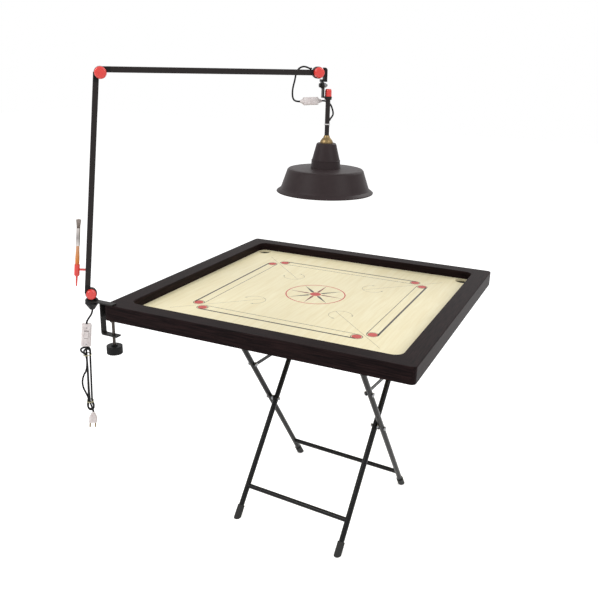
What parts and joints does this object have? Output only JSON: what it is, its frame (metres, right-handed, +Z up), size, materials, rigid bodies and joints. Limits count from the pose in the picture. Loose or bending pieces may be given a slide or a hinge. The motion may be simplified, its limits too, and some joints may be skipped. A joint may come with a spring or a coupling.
{
  "type": "carrom board",
  "caption": "Square carrom board with corner pockets on a folding X-frame stand, with a clamp-on swivelling arm lamp and a dusting brush.",
  "frame": {"origin": "centre of the playing surface, on its top face", "axes": "+Z up out of the playing surface, X and Y along the board's sides, front towards -Y"},
  "size_m": [0.9167, 0.8671, 1.296],
  "materials": {
    "rail_wood": "near-black stained hardwood, satin lacquer",
    "play_ply": "pale polished plywood with printed markings",
    "batten_wood": "plain sawn wood",
    "net": "black knotted net",
    "stand_tube": "black enamelled steel tube",
    "shoe_rubber": "black rubber",
    "fixings": "zinc-plated steel",
    "clamp_steel": "dark painted steel strap",
    "black_plastic": "black moulded plastic",
    "clamp_screw_steel": "plain steel",
    "lamp_tube": "dark brown-black lacquered square tube",
    "turret_plastic": "red moulded plastic",
    "red_knob": "glossy red plastic",
    "shade_sheet": "spun sheet, satin dark brown lacquer",
    "brass": "polished brass",
    "bulb_glass": "opal glass",
    "brush_wood": "orange lacquered wood",
    "ferrule_metal": "bright rolled sheet",
    "bristle": "soft hair",
    "cord_black": "black cord sheath",
    "white_plastic": "white moulded plastic",
    "pin_brass": "nickelled brass"
  },
  "bodies": {
    "outer_frame": {"outer_leg_left": "stand_tube", "outer_leg_right": "stand_tube", "outer_top_bar": "stand_tube", "outer_low_bar": "stand_tube", "outer_shoes": "shoe_rubber", "stand_bolts": "fixings", "pivot_washers": "fixings"},
    "inner_frame": {"inner_leg_left": "stand_tube", "inner_leg_right": "stand_tube", "inner_top_bar": "stand_tube", "inner_low_bar": "stand_tube", "inner_shoes": "shoe_rubber", "brace_studs": "fixings"},
    "left_brace": {"brace_left": "stand_tube"},
    "right_brace": {"brace_right": "stand_tube"},
    "board": {"rail_front": "rail_wood", "rail_right": "rail_wood", "rail_back": "rail_wood", "rail_left": "rail_wood", "playing_surface": "play_ply", "support_battens": "batten_wood", "pocket_nets": "net", "clamp_bracket": "clamp_steel", "cord_gland": "black_plastic", "supply_cord": "cord_black", "switch_case": "white_plastic", "supply_hank": "cord_black", "supply_plug": "white_plastic", "plug_pins": "pin_brass"},
    "rocker": {"switch_rocker": "white_plastic"},
    "pad": {"clamp_pad": "clamp_screw_steel"},
    "screw": {"clamp_screw": "clamp_screw_steel", "clamp_knob": "black_plastic"},
    "turret": {"lamp_turret": "turret_plastic"},
    "tilt_grip": {"tilt_knob": "red_knob"},
    "post": {"post_lugs": "black_plastic", "post_tube": "lamp_tube", "brush_holder": "turret_plastic"},
    "elbow_grip": {"elbow_knob": "red_knob"},
    "brush": {"brush_handle": "brush_wood", "brush_ferrule": "ferrule_metal", "brush_bristles": "bristle"},
    "arm": {"arm_lugs": "black_plastic", "arm_tube": "lamp_tube", "lamp_cord_upper": "cord_black"},
    "link": {"link_head": "turret_plastic", "link_strap": "clamp_steel", "link_bolt": "clamp_steel", "cord_connector": "white_plastic"},
    "end_grip": {"end_knob": "red_knob"},
    "side_nut": {"thumb_nut": "clamp_screw_steel"},
    "hanger": {"hanger_strap": "clamp_steel", "hanger_rod": "lamp_tube", "brass_cap": "brass", "shade_neck": "shade_sheet", "shade_dish": "shade_sheet", "lamp_holder": "black_plastic", "bulb": "bulb_glass", "lamp_cord_lower": "cord_black"},
    "hanger_nut": {"cap_nut": "red_knob"}
  },
  "joints": [
    {"name": "board_lift", "type": "slide", "parent": "outer_frame", "child": "board", "axis": [0, 0, 1], "range_m": [0, 0.32]},
    {"name": "stand_fold", "type": "hinge", "parent": "outer_frame", "child": "inner_frame", "pos_m": [0.041, 0.00003, -0.3668], "axis": [0.9974, -0.0715, 0], "range_deg": [0, 65.1]},
    {"name": "brace_left_swing", "type": "hinge", "parent": "outer_frame", "child": "left_brace", "pos_m": [0.03344, -0.10543, -0.215], "axis": [0.9974, -0.0715, 0], "range_deg": [0, 60.1]},
    {"name": "brace_right_swing", "type": "hinge", "parent": "outer_frame", "child": "right_brace", "pos_m": [0.03344, -0.10543, -0.215], "axis": [0.9974, -0.0715, 0], "range_deg": [0, 60.1]},
    {"name": "clamp_slide", "type": "slide", "parent": "board", "child": "pad", "axis": [0, 0, -1], "range_m": [0, 0.0121]},
    {"name": "screw_turn", "type": "hinge", "parent": "pad", "child": "screw", "pos_m": [-0.397, -0.4097, -0.02], "axis": [0, 0, 1], "range_deg": [0, 3456]},
    {"name": "switch_rock", "type": "hinge", "parent": "board", "child": "rocker", "pos_m": [-0.47164, -0.43012, -0.06587], "axis": [-0.7512, -0.653, 0.0969], "range_deg": [-6, 6]},
    {"name": "base_swivel", "type": "hinge", "parent": "board", "child": "turret", "pos_m": [-0.4634, -0.4097, 0.028], "axis": [0, 0, 1], "range_deg": [-120, 120]},
    {"name": "post_tilt", "type": "hinge", "parent": "turret", "child": "post", "pos_m": [-0.4634, -0.4097, 0.046], "axis": [-0.6561, 0.7547, 0], "range_deg": [-40, 18]},
    {"name": "tilt_knob_turn", "type": "hinge", "parent": "turret", "child": "tilt_grip", "pos_m": [-0.45421, -0.42027, 0.046], "axis": [0.6561, -0.7547, 0], "continuous": true},
    {"name": "brush_draw", "type": "slide", "parent": "post", "child": "brush", "axis": [0.0776, 0.0674, 0.9947], "range_m": [0, 0.06]},
    {"name": "elbow_tilt", "type": "hinge", "parent": "post", "child": "arm", "pos_m": [-0.42033, -0.37226, 0.59826], "axis": [0.6561, -0.7547, 0], "range_deg": [-20, 80]},
    {"name": "elbow_knob_turn", "type": "hinge", "parent": "post", "child": "elbow_grip", "pos_m": [-0.42033, -0.37226, 0.59826], "axis": [0.6561, -0.7547, 0], "continuous": true},
    {"name": "link_tilt", "type": "hinge", "parent": "arm", "child": "link", "pos_m": [-0.00874, -0.01447, 0.60842], "axis": [0.6561, -0.7547, 0], "range_deg": [-30, 45], "deforming": ["lamp_cord_upper"]},
    {"name": "end_knob_turn", "type": "hinge", "parent": "link", "child": "end_grip", "pos_m": [-0.00874, -0.01447, 0.60842], "axis": [0.6561, -0.7547, 0], "continuous": true},
    {"name": "side_tilt", "type": "hinge", "parent": "link", "child": "hanger", "pos_m": [0.00301, -0.00426, 0.577], "axis": [-0.7547, -0.6561, 0], "range_deg": [0, 25], "deforming": ["lamp_cord_lower"]},
    {"name": "thumb_nut_turn", "type": "hinge", "parent": "link", "child": "side_nut", "pos_m": [0.00603, -0.00163, 0.577], "axis": [0.7547, 0.6561, 0], "continuous": true},
    {"name": "cap_nut_turn", "type": "hinge", "parent": "hanger", "child": "hanger_nut", "pos_m": [0.01433, 0.00558, 0.558], "axis": [0, 0, 1], "continuous": true}
  ],
  "couplings": [
    {"joint": "stand_fold", "follows": "board_lift", "rad_per_m": 3.5452},
    {"joint": "brace_left_swing", "follows": "board_lift", "rad_per_m": 3.2725},
    {"joint": "brace_right_swing", "follows": "board_lift", "rad_per_m": 3.2725},
    {"joint": "clamp_slide", "follows": "screw_turn", "m_per_rad": 0.00019894}
  ]
}
